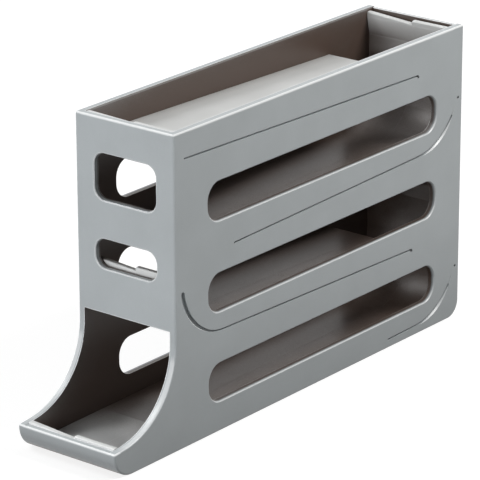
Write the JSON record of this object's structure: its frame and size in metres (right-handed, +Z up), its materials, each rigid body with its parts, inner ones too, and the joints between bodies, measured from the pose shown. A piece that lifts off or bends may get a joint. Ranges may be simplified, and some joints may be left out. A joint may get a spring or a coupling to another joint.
{
  "type": "tiered egg rack",
  "caption": "Narrow upright egg rack with four sloped tracks running back and forth, slotted sides, two front windows and an open tray at the foot.",
  "frame": {"origin": "bottom centre of the bounding box, on the surface the rack stands on", "axes": "+Z up, -Y towards the open tray and the front panel, +X towards the right side wall seen by someone who faces the front panel"},
  "size_m": [0.08, 0.3666, 0.21],
  "materials": {
    "shell": "satin",
    "slides": "satin",
    "pins": "matt"
  },
  "bodies": {
    "root": {"body_shell": "shell", "back_panel": "shell", "slide_1_left": "slides", "slide_1_right": "slides", "slide_2_left": "slides", "slide_2_right": "slides", "slide_3_left": "slides", "slide_3_right": "slides", "slide_4_left": "slides", "slide_4_right": "slides", "pin_1_left": "pins", "pin_1_right": "pins", "pin_2_left": "pins", "pin_2_right": "pins", "pin_3_left": "pins", "pin_3_right": "pins", "pin_4_left": "pins", "pin_4_right": "pins"}
  },
  "joints": []
}
